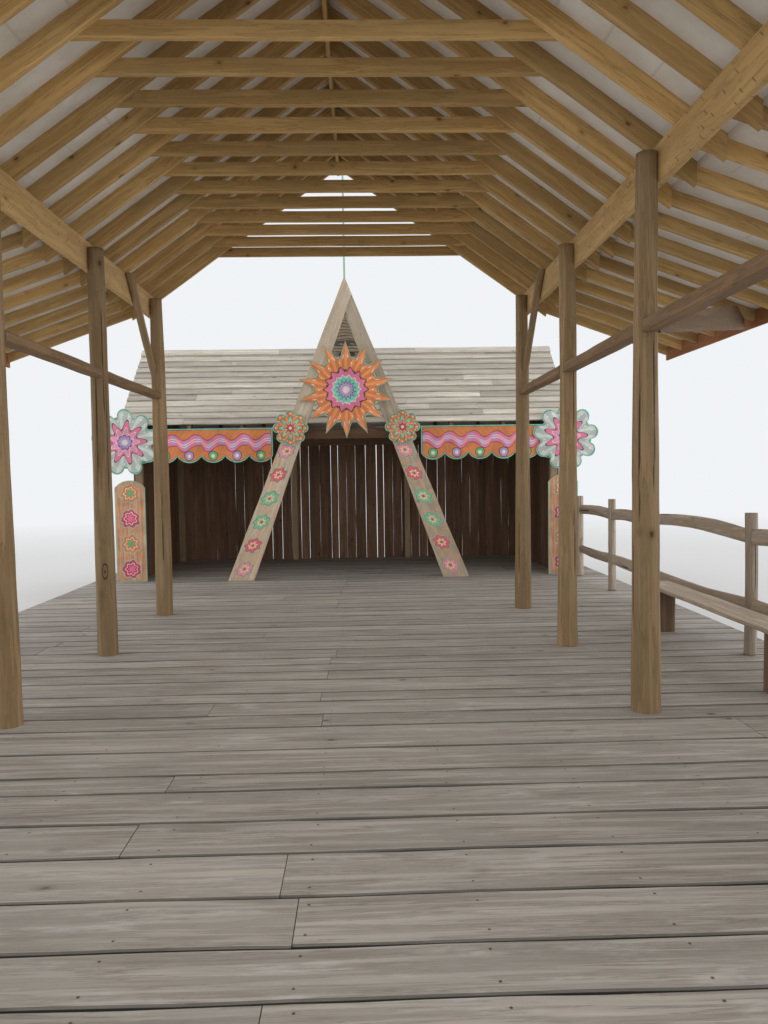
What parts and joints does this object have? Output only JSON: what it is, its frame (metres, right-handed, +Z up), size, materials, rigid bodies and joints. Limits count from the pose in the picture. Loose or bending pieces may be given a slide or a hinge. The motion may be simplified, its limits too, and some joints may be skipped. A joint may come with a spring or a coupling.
{
  "type": "bandstand",
  "caption": "Timber bandstand: an open hall on log posts under a raftered roof, a strip of open deck and a boarded stage hut behind crossed planks.",
  "frame": {"origin": "on the ground, at the middle of the whole footprint", "axes": "+Y from the audience end to the stage, +X to the right facing the stage, +Z up"},
  "size_m": [7.664, 13.5, 6.27],
  "materials": {
    "deck_timber": "weathered rough sawn boards",
    "log": "peeled round wood with knots and shakes",
    "beam_timber": "pale strand board",
    "sawn_timber": "planed softwood with knots",
    "rail_timber": "squared brown timber",
    "cedar": "orange brown boards",
    "roof_boards": "weathered lapped boards over a pale underlay",
    "hut_roof": "weathered lapped boards",
    "hut_wall": "red brown upright boards",
    "plank": "pale weathered planks with painted spots",
    "painted_board": "hand painted board in pink, orange and turquoise",
    "mast_paint": "pale green paint",
    "straw": "wound strips of wood",
    "fence_wood": "split rustic wood"
  },
  "bodies": {
    "root": {"ground_bearers": "deck_timber", "floor_joists": "deck_timber", "deck_floor": "deck_timber", "posts_left": "log", "posts_right": "log", "plate_beam_left": "beam_timber", "plate_beam_right": "beam_timber", "side_rail_left": "rail_timber", "side_rail_right": "rail_timber", "knee_braces": "log", "ridge_board": "sawn_timber", "rafters_left": "sawn_timber", "rafters_right": "sawn_timber", "collar_ties": "sawn_timber", "skirt_rafters_left": "sawn_timber", "skirt_rafters_right": "sawn_timber", "roof_left": "roof_boards", "roof_right": "roof_boards", "skirt_roof_left": "roof_boards", "skirt_roof_right": "roof_boards", "eave_fascia_left": "cedar", "eave_fascia_right": "cedar", "eave_strut": "rail_timber", "stage_posts": "hut_wall", "stage_beams": "hut_wall", "stage_rafters_front": "hut_wall", "stage_rafters_back": "hut_wall", "stage_roof_front": "hut_roof", "stage_roof_back": "hut_roof", "stage_back_wall": "hut_wall", "stage_wall_left": "hut_wall", "stage_wall_right": "hut_wall", "frame_leg_left": "plank", "frame_leg_right": "plank", "mast": "mast_paint", "cowl": "straw", "cowl_neck": "straw", "painted_trim_left": "painted_board", "painted_trim_right": "painted_board", "end_roundels": "painted_board", "pillar_boards": "painted_board", "sun_board": "painted_board", "leg_rosettes": "painted_board", "fence_posts": "fence_wood", "fence_rails": "fence_wood", "bench_seat": "fence_wood", "bench_blocks": "fence_wood"}
  },
  "joints": []
}
